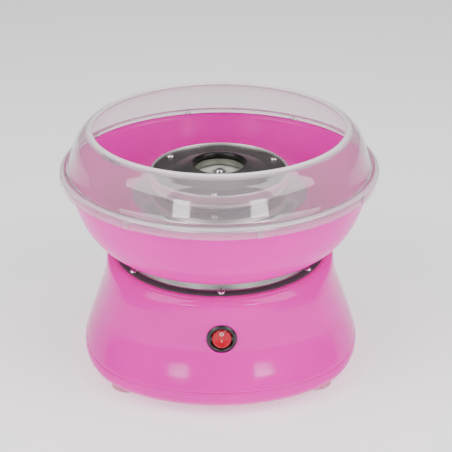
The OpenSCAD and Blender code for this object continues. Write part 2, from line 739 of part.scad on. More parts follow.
module switch_terminals() color("#d8c27a") in_switch()
    for (y = [-6, 0, 6]) translate([-3.1, y - 0.4, -26]) cube([6.2, 0.8, 9]);

// ---- electrics in the base ----

function board_posts() = [
    for (sx = [-1, 1]) [board_at[0] + sx * (board_size[0] / 2 - 4), board_at[1]]];

module rectifier_board() color("#2e7d4a") difference() {
    translate([board_at[0] - board_size[0] / 2, board_at[1] - board_size[1] / 2, board_z])
        cube(board_size);
    for (s = board_posts()) translate([s[0], s[1], board_z - cut]) cylinder(r = 1.6, h = 5);
}

module board_parts() translate([board_at[0], board_at[1], board_z + board_size[2]]) {
    color("#202024") for (x = [-12:5:3]) translate([x, -9, 2.2]) rotate([-90, 0, 0])
        cylinder(r = 1.8, h = 9, $fn = 32);
    color("#202024") for (x = [-12:5:3], y = [-10, 1]) translate([x, y, 0])
        cylinder(r = 0.5, h = 2.4, $fn = 16);
    color("#27406b") translate([10, -6, 0]) cylinder(r = 6, h = 16);
    color("#b03a2e") translate([-8, 8, 0]) cube([14, 6, 9]);
}

module board_screws() color(steel) for (s = board_posts())
    translate([s[0], s[1], board_z + board_size[2]]) pan_screw(1.1, 8, 2.6, 1.8);

block_z = inner_floor_z + 4;
module terminal_block() color("#f2efe6") translate([block_at[0], block_at[1], block_z])
    difference() {
        translate([-15, -7, 0]) cube([30, 14, 11]);
        for (x = [-10, 0, 10]) translate([x, -20, 5]) rotate([-90, 0, 0])
            cylinder(r = 2, h = 40);
        for (x = [-10, 0, 10]) translate([x, 3.5, 7]) cylinder(r = 1.7, h = 10);
    }

module terminal_screws() color(steel) for (x = [-10, 0, 10])
    translate([block_at[0] + x, block_at[1] + 3.5, block_z + 10]) cylinder(r = 1.65, h = 1.6);

module wire_grommet() color("#1d1d1d") translate([wire_hole[0], wire_hole[1], 0])
    difference() {
        union() {
            translate([0, 0, plateau_z - sheet - 2]) cylinder(r = 8, h = 2);
            translate([0, 0, plateau_z - sheet - 1]) cylinder(r = 6, h = sheet + 2);
            translate([0, 0, plateau_z]) cylinder(r = 8, h = 2);
        }
        translate([0, 0, plateau_z - 10]) cylinder(r = 4.8, h = 20);
    }

wire_r = 0.9;
wire_routes = [
    // the two heater leads, from the legs of the heater to the terminal block and the board
    [[6.9, 39.4, 115.8], [4, 41, 108], [2.2, 42, 98], [24, 56, 64], [24, 57, 30],
        [24, 62.8, 16.5]],
    [[-6.9, 39.4, 115.8], [-4, 41, 108], [-2.2, 42, 98], [-20, 60, 70], [-20, 60, 44],
        [-20, 60, 24.8]],
    // from the block to the switch, round the motor, and from the switch to the board
    [[34, 62.8, 16.5], [40, 46, 18], [50, 10, 28], [34, -44, 46], [8, -78, 61]],
    [[-8, -78, 61], [-34, -44, 46], [-52, 0, 36], [-55, 34, 32], [-55, 52, 24.8]],
    // from the board to the motor
    [[-36, 44, 24.8], [-35, 32, 28], [-24, 14, 28], [-16, 5, 30.6]],
    [[-28, 44, 24.8], [-22, 34, 27], [4, 27, 27], [16, 5, 30.6]]];
wire_tints = ["#e9e9e6", "#e9e9e6", "#3563a8", "#7a4a2b", "#c22727", "#1c1c1c"];

module inner_wires()
    for (i = [0:len(wire_routes) - 1]) color(wire_tints[i]) wire(wire_routes[i], wire_r);

base_housing();
bottom_cover();
foot_front_left();
foot_front_right();
foot_rear_left();
foot_rear_right();
cover_screws();
top_plate();
plate_screws();
heater_drum();
drum_screws();
ceramic_posts();
mica_disc();
heat_reflector();
heater_ring();
thermal_cutoff();
thermal_fuse();
motor_can();
motor_end_cap();
motor_magnets();
upper_bearing();
lower_bearing();
brushes();
brush_springs();
motor_bracket();
motor_screws();
rubber_mounts();
bracket_screws();
shaft_sleeve();
spindle();
armature();
commutator();
cooling_fan();
drive_pin();
head_hub();
head_dish();
slot_band();
head_cover();
head_screws();
head_nuts();
centre_screw();
bowl();
guard();
switch_body();
switch_rocker();
rocker_pin();
switch_terminals();
rectifier_board();
board_parts();
board_screws();
terminal_block();
terminal_screws();
inner_wires();
wire_grommet();
cord_gland();
gland_nut();
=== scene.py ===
"""Looks of the cotton candy machine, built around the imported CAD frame.

Shapes are in millimetres and become metres where a mesh is made. Noise, relief, lights and
the camera are in metres. The outlines are those of the CAD part, with their edges rounded.
"""

import json
import math

import bmesh
import bpy
from mathutils import Matrix, Vector


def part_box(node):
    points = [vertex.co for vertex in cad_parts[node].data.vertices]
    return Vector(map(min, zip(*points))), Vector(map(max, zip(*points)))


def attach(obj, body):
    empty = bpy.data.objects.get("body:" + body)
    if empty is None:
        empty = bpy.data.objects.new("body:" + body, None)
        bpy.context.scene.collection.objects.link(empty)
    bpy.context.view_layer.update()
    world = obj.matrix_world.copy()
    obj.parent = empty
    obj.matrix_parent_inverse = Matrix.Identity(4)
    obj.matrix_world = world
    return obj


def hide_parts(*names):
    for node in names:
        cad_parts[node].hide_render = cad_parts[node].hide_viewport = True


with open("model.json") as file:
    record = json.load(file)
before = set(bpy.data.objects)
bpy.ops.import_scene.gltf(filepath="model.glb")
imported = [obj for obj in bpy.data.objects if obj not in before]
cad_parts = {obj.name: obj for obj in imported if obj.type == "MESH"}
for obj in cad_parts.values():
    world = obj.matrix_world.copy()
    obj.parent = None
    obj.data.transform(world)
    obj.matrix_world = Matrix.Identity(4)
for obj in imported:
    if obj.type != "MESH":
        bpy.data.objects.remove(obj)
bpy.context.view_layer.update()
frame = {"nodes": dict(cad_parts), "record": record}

MM = 0.001
TURNS = 224                # sides of a large turned piece
SHARP = math.radians(32)   # edges that turn more than this are shaded as edges
WELD = 0.0005              # vertices nearer than this are one
EASE = 0.02                # keeps two faces that meet from lying in one plane


# ---------------------------------------------------------------- places from the frame

def low(node):
    """Least x, y and z of a CAD node."""
    return [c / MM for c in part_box(node)[0]]


def high(node):
    """Greatest x, y and z of a CAD node."""
    return [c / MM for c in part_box(node)[1]]


# base
FLOOR_Z = low("bottom_cover")[2]
PARTING_Z = low("base_housing")[2]
SHOULDER_Z = high("base_housing")[2]
BASE_HALF = high("bottom_cover")[0]      # from the spindle to the middle of a side
END_HALF = high("bottom_cover")[1]       # from the spindle to the front or the rear
CORNER_R = BASE_HALF + 5.8               # from the spindle to a corner
WALL = 2.6
PANEL_Y = 99.0                           # from the spindle to the switch's flat seat
SWITCH_Z = (low("switch_body")[2] + high("switch_body")[2]) / 2
CAN_HOLE_R = 10.15                       # hole for the switch's can
SEAT_R = 12.2                            # clearing for the switch's bezel
SWITCH_PAD_R = 13.5
GLAND_Z = (low("cord_gland")[2] + high("cord_gland")[2]) / 2
GLAND_HOLE_R = 6.6
GLAND_PAD_R = 11.0
TOP_HOLE_R = 77.0                        # opening in the housing's top, under the plate
TOP_WALL = 3.0
TOP_ROUND = 1.2                          # radius of the housing's top edge

# plate and drum
SHEET = 1.2
PLATE_R = high("top_plate")[0]
PLATEAU_Z = high("top_plate")[2]
CHANNEL_R = 83.3                         # foot of the plate's step, where the channel begins
DRUM_R = high("heater_drum")[0]
DRUM_TOP_Z = high("heater_drum")[2]

# head
HEAD_R = high("head_cover")[0]
HEAD_TOP_Z = high("head_cover")[2]
HEAD_Z = HEAD_TOP_Z - 6.7                # top of the disc around the raised cone
BAND_Z = HEAD_Z - 5.6                    # foot of the slot that the sugar leaves by
WELL_R = 21.0                            # the hole that the sugar is spooned into

# bowl and guard
BOWL_FOOT_Z = low("bowl")[2]
BOWL_TOP_Z = high("bowl")[2]
BOWL_HOLE = 78.3
BOWL_WALL = 2.4
LIP_R = high("bowl")[0]
TOTAL_H = high("guard")[2]
WITHIN_BOX = 0.02                        # how far the turned guard stays inside its CAD box
GUARD_R = high("guard")[0] - WITHIN_BOX
GUARD_HOLE = 102.0
GUARD_WALL = 2.0
RIM_R = 1.7                              # half the thickness of the guard's rolled rim
RIM_FOOT_Z = TOTAL_H - 2 * RIM_R
BRIM_Z = BOWL_TOP_Z + 4.4
UNDER_Z = BRIM_Z - 1.4
SKIRT_Z = BRIM_Z - 8


# ---------------------------------------------------------------- materials

class Paint:
    """A node material with one Principled shader and a few helpers."""

    def __init__(self, name, color, roughness=0.5, metallic=0.0, **sockets):
        self.mat = bpy.data.materials.new(name)
        self.mat.use_nodes = True
        self.tree = self.mat.node_tree
        self.shader = self.tree.nodes["Principled BSDF"]
        self.shader.inputs["Base Color"].default_value = (*color, 1.0)
        self.shader.inputs["Roughness"].default_value = roughness
        self.shader.inputs["Metallic"].default_value = metallic
        for key, value in sockets.items():
            self.shader.inputs[key.replace("_", " ")].default_value = value
        self.coord = self.node("ShaderNodeTexCoord").outputs["Object"]
        self.normal = None

    def node(self, kind, **settings):
        """A new node. A setting is an input's name or else a property's."""
        n = self.tree.nodes.new(kind)
        for key, value in settings.items():
            if key in n.inputs:
                n.inputs[key].default_value = value
            else:
                setattr(n, key, value)
        return n

    def link(self, a, b):
        self.tree.links.new(a, b)

    def noise(self, scale, detail=3.0, roughness=0.5, coord=None):
        n = self.node("ShaderNodeTexNoise", Scale=scale, Detail=detail, Roughness=roughness)
        self.link(coord or self.coord, n.inputs["Vector"])
        return n.outputs["Fac"]

    def spread(self, fac, low_value, high_value, start=0.35, stop=0.65):
        """Goes from low_value to high_value while fac goes from start to stop."""
        r = self.node("ShaderNodeMapRange")
        r.inputs["From Min"].default_value = start
        r.inputs["From Max"].default_value = stop
        r.inputs["To Min"].default_value = low_value
        r.inputs["To Max"].default_value = high_value
        self.link(fac, r.inputs["Value"])
        return r.outputs["Result"]

    def above(self, measure, start, stop):
        """0 where the measure is under start, 1 where it is over stop, in millimetres."""
        return self.spread(measure, 0.0, 1.0, start * MM, stop * MM)

    def below(self, measure, start, stop):
        """1 where the measure is under start, 0 where it is over stop, in millimetres."""
        return self.spread(measure, 1.0, 0.0, start * MM, stop * MM)

    def vary_roughness(self, fac, low_value, high_value):
        self.link(self.spread(fac, low_value, high_value), self.shader.inputs["Roughness"])

    def vary_color(self, fac, color_a, color_b):
        ramp = self.node("ShaderNodeValToRGB")
        stops = zip(ramp.color_ramp.elements, (0.35, 0.65), (color_a, color_b))
        for element, position, color in stops:
            element.position = position
            element.color = (*color, 1)
        self.link(fac, ramp.inputs["Fac"])
        self.link(ramp.outputs["Color"], self.shader.inputs["Base Color"])

    def blend(self, fac, a, b):
        """Number or colour a where fac is 0, b where it is 1."""
        color = isinstance(b, tuple)
        m = self.node("ShaderNodeMix", data_type="RGBA" if color else "FLOAT")
        sockets = [q for q in m.inputs if q.enabled]
        self.link(fac, sockets[0])
        for socket, value in zip(sockets[1:], (a, b)):
            if isinstance(value, bpy.types.NodeSocket):
                self.link(value, socket)
            else:
                socket.default_value = (*value, 1.0) if color else value
        return next(q for q in m.outputs if q.enabled)

    def both(self, a, b):
        """Where mask a and mask b overlap."""
        m = self.node("ShaderNodeMath", operation="MULTIPLY")
        self.link(a, m.inputs[0])
        self.link(b, m.inputs[1])
        return m.outputs[0]

    def bump(self, fac, strength, distance):
        """Relief on top of the relief that is there already."""
        b = self.node("ShaderNodeBump", Strength=strength, Distance=distance)
        self.link(fac, b.inputs["Height"])
        if self.normal:
            self.link(self.normal, b.inputs["Normal"])
        self.normal = b.outputs["Normal"]
        self.link(self.normal, self.shader.inputs["Normal"])

    def round_coord(self):
        """Distance from the spindle and height: noise on it runs in rings."""
        parts = self.node("ShaderNodeSeparateXYZ")
        self.link(self.coord, parts.inputs[0])
        flat = self.node("ShaderNodeCombineXYZ")
        self.link(parts.outputs["X"], flat.inputs["X"])
        self.link(parts.outputs["Y"], flat.inputs["Y"])
        size = self.node("ShaderNodeVectorMath", operation="LENGTH")
        self.link(flat.outputs[0], size.inputs[0])
        out = self.node("ShaderNodeCombineXYZ")
        self.link(size.outputs["Value"], out.inputs["X"])
        self.link(parts.outputs["Z"], out.inputs["Y"])
        return out.outputs[0]

    def place(self):
        """Distance from the spindle and height, as two measures in metres."""
        parts = self.node("ShaderNodeSeparateXYZ")
        self.link(self.round_coord(), parts.inputs[0])
        return parts.outputs["X"], parts.outputs["Y"]


def tint(color, factor):
    """A lighter or darker colour."""
    return tuple(min(1.0, c * factor) for c in color)


def moulded(name, color, roughness=0.16, grain=0.02, **sockets):
    """Injection-moulded plastic: slight flow marks, a faint skin and fine scuffs."""
    p = Paint(name, color, roughness, IOR=1.48, **sockets)
    flow = p.noise(9.0, 2.0)
    p.vary_color(flow, tint(color, 0.94), tint(color, 1.05))
    p.vary_roughness(p.noise(60.0, 5.0, 0.65), roughness * 0.75, roughness * 1.35)
    p.bump(p.noise(420.0, 2.0), grain, 0.0006)
    p.bump(p.noise(26.0, 1.0), grain * 1.2, 0.002)
    return p.mat


def spun(name, color, roughness=0.25, depth=0.05):
    """Sheet metal turned on a spindle: fine rings and a cloudy polish."""
    p = Paint(name, color, roughness, metallic=1.0)
    rings = p.noise(1800.0, 2.0, 0.6, coord=p.round_coord())
    clouds = p.noise(22.0, 4.0, 0.6)
    p.vary_color(clouds, tint(color, 0.88), tint(color, 1.06))
    p.vary_roughness(rings, roughness * 0.8, roughness * 1.3)
    p.bump(rings, depth, 0.0002)
    return p.mat


def cast(name, color, roughness=0.4, metallic=1.0, pits=0.12):
    """Rolled, cast or ground metal, or a hard mineral, with a fine even grain."""
    p = Paint(name, color, roughness, metallic=metallic)
    p.vary_color(p.noise(35.0, 4.0, 0.6), tint(color, 0.82), tint(color, 1.1))
    p.vary_roughness(p.noise(140.0, 4.0), roughness * 0.8, roughness * 1.25)
    p.bump(p.noise(900.0, 3.0, 0.6), pits, 0.0002)
    return p.mat


SHELL_PINK = (0.76, 0.0015, 0.4)
BOWL_PINK = (0.86, 0.0, 0.46)

materials = {
    "pink_shell": moulded("pink_shell", SHELL_PINK, 0.13, Specular_IOR_Level=0.25),
    "pink_bowl": moulded("pink_bowl", BOWL_PINK, 0.2, Specular_IOR_Level=0.2),
    "screw_steel": cast("screw_steel", (0.72, 0.72, 0.71), 0.18, pits=0.04),
    "drum_steel": spun("drum_steel", (0.72, 0.72, 0.71), 0.13, depth=0.03),
    "ceramic": moulded("ceramic", (0.8, 0.77, 0.68), 0.5, 0.1),
    "mica": cast("mica", (0.45, 0.36, 0.2), 0.5, 0.2, 0.3),
    "reflector": spun("reflector", (0.82, 0.82, 0.82), 0.2),
    "heater_tube": cast("heater_tube", (0.1, 0.085, 0.075), 0.55, 0.8, 0.3),
    "black_plastic": moulded("black_plastic", (0.012, 0.012, 0.013), 0.3, 0.1),
    "fuse_metal": cast("fuse_metal", (0.7, 0.7, 0.64), 0.3),
    "motor_steel": cast("motor_steel", (0.42, 0.43, 0.44), 0.34),
    "magnet": cast("magnet", (0.03, 0.03, 0.034), 0.6, 0.2, 0.3),
    "bronze": cast("bronze", (0.5, 0.3, 0.11), 0.4),
    "carbon": cast("carbon", (0.02, 0.02, 0.022), 0.6, 0.1, 0.3),
    "spring_brass": cast("spring_brass", (0.7, 0.5, 0.2), 0.25),
    "bracket_steel": cast("bracket_steel", (0.55, 0.56, 0.58), 0.36),
    "black_rubber": moulded("black_rubber", (0.014, 0.014, 0.014), 0.6, 0.2),
    "shaft_steel": cast("shaft_steel", (0.62, 0.62, 0.62), 0.16, pits=0.05),
    "copper": cast("copper", (0.55, 0.2, 0.08), 0.36),
    "fan_plastic": moulded("fan_plastic", (0.76, 0.76, 0.73), 0.4),
    "head_alloy": cast("head_alloy", (0.82, 0.82, 0.76), 0.38, metallic=0.7, pits=0.05),
    "board_green": moulded("board_green", (0.01, 0.13, 0.05), 0.35, 0.1),
    "parts_dark": moulded("parts_dark", (0.02, 0.026, 0.05), 0.35, 0.1),
    "block_white": moulded("block_white", (0.8, 0.79, 0.74), 0.4, 0.05),
    "wire_cover": moulded("wire_cover", (0.6, 0.6, 0.6), 0.45, 0.1),
}


def foot_rubber():
    """Soft pink rubber that lets some light through."""
    p = Paint("foot_rubber", (0.95, 0.5, 0.66), 0.3, IOR=1.42, Transmission_Weight=0.45)
    p.vary_color(p.noise(40.0, 3.0), (0.95, 0.46, 0.62), (1.0, 0.6, 0.74))
    p.vary_roughness(p.noise(200.0, 3.0), 0.24, 0.4)
    p.bump(p.noise(500.0, 2.0), 0.05, 0.0004)
    return p.mat


def guard_clear():
    """Slightly milky clear plastic, whiter along the brim's edge and the lug, with a painted highlight
    along the rolled rim.
    """
    p = Paint("guard_clear", (1.0, 0.9, 0.96), 0.05, IOR=1.45)
    radius, height = p.place()
    # Painted highlight: the rolled rim is made far less clear so that it shows as a bright white line.
    rim = p.both(p.above(height, RIM_FOOT_Z - 0.4, RIM_FOOT_Z),
                 p.below(radius, GUARD_HOLE + 3.5, GUARD_HOLE + 3.8))
    edge = p.both(p.above(height, UNDER_Z, UNDER_Z + 0.8),
                  p.above(radius, GUARD_HOLE + 24.5, GUARD_HOLE + 26))
    lug = p.both(p.above(height, RIM_FOOT_Z - 3, RIM_FOOT_Z - 2),
                 p.below(radius, GUARD_HOLE + 5, GUARD_HOLE + 5.5))
    clear = p.blend(rim, p.blend(edge, p.blend(lug, 0.88, 0.45), 0.5), 0.2)
    p.link(clear, p.shader.inputs["Transmission Weight"])
    p.vary_roughness(p.noise(50.0, 4.0), 0.03, 0.09)
    p.bump(p.noise(30.0, 1.0), 0.02, 0.002)
    return p.mat


def plate_steel():
    """Brushed steel, bright on the pressed step, with a painted dark reflection in the flat channel
    around it: there it is dark grey and not metal.
    """
    p = Paint("plate_steel", (0.5, 0.5, 0.48), 0.3, metallic=1.0)
    radius, height = p.place()
    channel = p.both(p.above(radius, CHANNEL_R - 0.7, CHANNEL_R + 0.3),
                     p.below(height, SHOULDER_Z + 3, SHOULDER_Z + 5))
    clouds = p.spread(p.noise(22.0, 4.0, 0.6), 0.0, 1.0)
    bright = p.blend(clouds, (0.46, 0.46, 0.44), (0.58, 0.58, 0.55))
    # Painted dark reflection: in the channel the steel turns dark grey, non-metal and low in shine,
    # standing in for the dark surroundings it reflects.
    p.link(p.blend(channel, bright, (0.075, 0.082, 0.08)), p.shader.inputs["Base Color"])
    p.link(p.blend(channel, 1.0, 0.0), p.shader.inputs["Metallic"])
    p.link(p.blend(channel, 0.5, 0.1), p.shader.inputs["Specular IOR Level"])
    rings = p.noise(1800.0, 2.0, 0.6, coord=p.round_coord())
    p.vary_roughness(rings, 0.26, 0.4)
    p.bump(rings, 0.05, 0.0002)
    return p.mat


def head_top():
    """Dark disc with a bright rim, a glossy black hole edge and a paler funnel."""
    p = Paint("head_top", (0.17, 0.17, 0.16), 0.34, metallic=1.0)
    radius, height = p.place()
    rim = p.above(radius, HEAD_R - 1.7, HEAD_R - 1.4)
    hole = p.below(radius, WELL_R + 1.8, WELL_R + 2.2)
    funnel = p.both(hole, p.below(height, HEAD_TOP_Z - 5.5, HEAD_TOP_Z - 4.8))
    clouds = p.spread(p.noise(30.0, 4.0, 0.6), 0.0, 1.0)
    color = p.blend(clouds, (0.09, 0.09, 0.084), (0.13, 0.13, 0.12))
    color = p.blend(rim, color, (0.85, 0.85, 0.83))
    color = p.blend(hole, color, (0.02, 0.019, 0.018))
    color = p.blend(funnel, color, (0.2, 0.2, 0.17))
    p.link(color, p.shader.inputs["Base Color"])
    rings = p.noise(1500.0, 2.0, 0.6, coord=p.round_coord())
    rough = p.blend(hole, p.spread(rings, 0.3, 0.44), 0.1)
    p.link(p.blend(funnel, rough, 0.32), p.shader.inputs["Roughness"])
    p.link(p.blend(hole, 0.8, 0.6), p.shader.inputs["Metallic"])
    p.bump(p.noise(1100.0, 3.0), 0.06, 0.0002)
    return p.mat


def rocker_red():
    """Glossy red plastic."""
    p = Paint("rocker_red", (0.5, 0.0, 0.002), 0.14, IOR=1.5, Specular_IOR_Level=0.35)
    p.vary_color(p.noise(120.0, 2.0), (0.34, 0.0, 0.01), (0.46, 0.0, 0.02))
    p.bump(p.noise(300.0, 2.0), 0.03, 0.0004)
    return p.mat


materials["foot_rubber"] = foot_rubber()
materials["plate_steel"] = plate_steel()
materials["guard_clear"] = guard_clear()
materials["head_top"] = head_top()
materials["rocker_red"] = rocker_red()

for row in frame["record"]["subparts"]:
    cad_piece = frame["nodes"][row["node"]]
    cad_piece.data.materials.clear()
    cad_piece.data.materials.append(materials[row["material_slot"]])


# ---------------------------------------------------------------- mesh helpers

def finish_mesh(name, bm, body, slot_name, replaced=()):
    """Turns a bmesh in millimetres into a piece that rides on a body."""
    bmesh.ops.remove_doubles(bm, verts=bm.verts, dist=WELD)
    bmesh.ops.recalc_face_normals(bm, faces=bm.faces)
    bmesh.ops.scale(bm, vec=(MM, MM, MM), verts=bm.verts)
    mark_edges(bm)
    mesh = bpy.data.meshes.new(name)
    bm.to_mesh(mesh)
    bm.free()
    piece = bpy.data.objects.new(name, mesh)
    bpy.context.scene.collection.objects.link(piece)
    mesh.materials.append(materials[slot_name])
    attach(piece, body)
    if replaced:
        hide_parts(*replaced)
    return piece


def mark_edges(bm):
    """Smooth shading, broken at the sharp edges."""
    for face in bm.faces:
        face.smooth = True
    for edge in bm.edges:
        edge.smooth = edge.is_manifold and edge.calc_face_angle(0.0) < SHARP


def spline(points, steps):
    """Catmull-Rom curve through the points."""
    out = []
    last = len(points) - 1
    for i in range(last):
        a, b = points[max(i - 1, 0)], points[i]
        c, d = points[i + 1], points[min(i + 2, last)]
        for s in range(steps):
            t = s / steps
            out.append(tuple(
                0.5 * (2 * q + (r - p) * t + (2 * p - 5 * q + 4 * r - w) * t * t
                       + (3 * q - p - 3 * r + w) * t ** 3)
                for p, q, r, w in zip(a, b, c, d)))
    return out + [tuple(points[-1])]


def aside(line, t):
    """The line moved sideways by t, to the left of its direction."""
    out = []
    last = len(line) - 1
    for i, (x, y) in enumerate(line):
        a, b = line[max(i - 1, 0)], line[min(i + 1, last)]
        dx, dy = b[0] - a[0], b[1] - a[1]
        n = math.hypot(dx, dy)
        out.append((x - t * dy / n, y + t * dx / n))
    return out


def rounded(corners, steps=5):
    """Closed outline with its corners rounded. A corner is (x, y) or (x, y, radius)."""
    out = []
    count = len(corners)
    for i, corner in enumerate(corners):
        p = Vector(corner[:2])
        radius = corner[2] if len(corner) > 2 else 0.0
        if radius <= 0:
            out.append(tuple(p))
            continue
        before = Vector(corners[i - 1][:2]) - p
        after = Vector(corners[(i + 1) % count][:2]) - p
        half = before.angle(after) / 2
        reach = min(radius / math.tan(half), before.length * 0.49, after.length * 0.49)
        a, b = p + before.normalized() * reach, p + after.normalized() * reach
        for s in range(steps + 1):
            t = s / steps
            q = (1 - t) ** 2 * a + 2 * t * (1 - t) * p + t * t * b
            out.append(tuple(q))
    return out


def round_angles(sides, shift=0.0):
    """Angles of equal steps once round. The shift is a part of a step."""
    return [2 * math.pi * (k + shift) / sides for k in range(sides)]


def round_ring(bm, r, z, sides=TURNS, shift=0.5):
    """Vertices in a level circle about the spindle."""
    return [bm.verts.new((r * math.cos(a), r * math.sin(a), z)) for a in round_angles(sides, shift)]


def turned(outline, sides=TURNS):
    """Closed outline of (radius, height) turned about the spindle."""
    bm = bmesh.new()
    rings = [round_ring(bm, r, z, sides, 0.0) if r > 0 else [bm.verts.new((0, 0, z))]
             for r, z in outline]
    join_rings(bm, rings, sides, closed=True)
    return bm


def join_rings(bm, rings, sides, closed):
    """Faces between neighbouring rings. A ring of one vertex is a tip."""
    after = rings[1:] + rings[:1] if closed else rings[1:]
    for a, b in zip(rings, after):
        for k in range(sides):
            n = (k + 1) % sides
            corners = [a[k % len(a)], a[n % len(a)], b[n % len(b)], b[k % len(b)]]
            unique = list(dict.fromkeys(corners))
            if len(unique) > 2:
                bm.faces.new(unique)


def add_box(bm, size, place):
    """A box added to bm, centred on the frame place."""
    verts = bmesh.ops.create_cube(bm, size=1.0)["verts"]
    bmesh.ops.scale(bm, vec=size, verts=verts)
    bmesh.ops.transform(bm, matrix=place, verts=verts)


def helper_object(bm):
    """Passing object in metres, made from a bmesh in millimetres for a boolean."""
    bmesh.ops.recalc_face_normals(bm, faces=bm.faces)
    bmesh.ops.scale(bm, vec=(MM, MM, MM), verts=bm.verts)
    mesh = bpy.data.meshes.new("helper")
    bm.to_mesh(mesh)
    bm.free()
    obj = bpy.data.objects.new("helper", mesh)
    bpy.context.scene.collection.objects.link(obj)
    return obj


def subtract(piece, cut_bm):
    """Takes cut_bm, a bmesh in millimetres, away from the piece's mesh."""
    tool = helper_object(cut_bm)
    mod = piece.modifiers.new("cut", "BOOLEAN")
    mod.operation = "DIFFERENCE"
    mod.solver = "EXACT"
    mod.object = tool
    graph = bpy.context.evaluated_depsgraph_get()
    mesh = bpy.data.meshes.new_from_object(piece.evaluated_get(graph))
    piece.modifiers.clear()
    piece.data = mesh
    bpy.data.objects.remove(tool)


def carve(piece, cut_bm):
    """Cuts a finished piece and marks its new edges."""
    subtract(piece, cut_bm)
    bm = bmesh.new()
    bm.from_mesh(piece.data)
    mark_edges(bm)
    bm.to_mesh(piece.data)
    bm.free()


def cut_bmesh(bm, cut_bm):
    """A copy of bm with cut_bm cut away, all in millimetres."""
    blank = helper_object(bm)
    subtract(blank, cut_bm)
    out = bmesh.new()
    out.from_mesh(blank.data)
    bmesh.ops.scale(out, vec=(1 / MM, 1 / MM, 1 / MM), verts=out.verts)
    bpy.data.objects.remove(blank)
    return out


def turn_to(point, direction):
    """Frame at a point whose +Z runs along direction."""
    turn = Vector(direction).to_track_quat("Z", "Y").to_matrix()
    return Matrix.Translation(point) @ turn.to_4x4()


def add_round(bm, place, outline, sides=48):
    """A turned solid added to bm, with its own +Z along the frame place."""
    part = turned(outline, sides)
    bmesh.ops.transform(part, matrix=place, verts=part.verts)
    copy_into(bm, part)
    part.free()


def copy_into(bm, part):
    """Adds a copy of the bmesh part to bm."""
    part.verts.index_update()
    made = [bm.verts.new(v.co) for v in part.verts]
    for face in part.faces:
        bm.faces.new([made[v.index] for v in face.verts])


# ---------------------------------------------------------------- base

TUCK = [(12.3, 5), (9.8, 6), (6.4, 8), (3, 11), (0.9, 14), (0, 18)]


def skin_line(widest, rise):
    """Curve of (radius, height) up the base: the tuck at its foot, then the rise. Both are
    given as (how far inside the widest radius, height)."""
    return spline([(widest - inset, z) for inset, z in TUCK + rise], 8)


SIDE_RISE = [(1.6, 24), (4.2, 32), (7.9, 42), (12, 54), (16.3, 66), (20.1, 78), (21.4, 88),
             (21.8, 97)]
SIDE = skin_line(BASE_HALF, SIDE_RISE)
REAR = skin_line(END_HALF, SIDE_RISE)
FRONT = skin_line(END_HALF, [
    (1.9, 25), (5, 32), (8.6, 39), (12, 46), (14.6, 53), (16, 60), (16.5, 68), (16.9, 78),
    (17.6, 88), (19.3, 97)])
CORNER = skin_line(CORNER_R, [
    (1.6, 24), (4.4, 30), (10.1, 42), (14.9, 54), (17.9, 66), (20.5, 78), (22.6, 84), (26, 91),
    (30.7, 97)])
SIDE_BOW = 60      # how far behind the spindle a side's curve has its centre
FRONT_BOW = 38     # nearer, so the front is rounder
BASE_SIDES = ((0, SIDE, SIDE_BOW), (90, REAR, SIDE_BOW), (180, SIDE, SIDE_BOW),
              (270, FRONT, FRONT_BOW))


def at_height(line, z):
    """Radius at height z on a line of (radius, height)."""
    for (r0, z0), (r1, z1) in zip(line, line[1:]):
        if z <= z1:
            return r0 + (r1 - r0) * (0 if z1 == z0 else (z - z0) / (z1 - z0))
    return line[-1][0]


def soft_min(a, b, k):
    """The smaller of a and b, rounded off where they are within k of each other."""
    h = max(k - abs(a - b), 0.0) / k
    return min(a, b) - h * h * k * 0.25


def base_radius(angle, z):
    """Distance of the base's skin from the spindle: a flared round body with four gently
    bowed sides that melt into it."""
    r = at_height(CORNER, z)
    below_top = min(1.0, max(0.0, (SHOULDER_Z - z) / 10.0))
    melt = 0.4 + 4.6 * below_top
    for toward, line, bow in BASE_SIDES:
        off = angle - math.radians(toward)
        if math.cos(off) > 0.5:
            reach = at_height(line, z) + bow
            side = math.sqrt(reach ** 2 - (bow * math.sin(off)) ** 2) - bow * math.cos(off)
            r = soft_min(r, side, melt)
    return r


def base_ring(bm, z, inset=0.0):
    """Vertices once round the base at a height, on its skin or inside it."""
    ring = []
    for a in round_angles(TURNS, 0.5):
        r = base_radius(a, z) - inset
        ring.append(bm.verts.new((r * math.cos(a), r * math.sin(a), z)))
    return ring


def switch_frame():
    """Frame on the front panel: +Z out of the panel, +Y up along it."""
    return Matrix.Translation((0, -PANEL_Y, SWITCH_Z)) @ Matrix.Rotation(math.pi / 2, 4, "X")


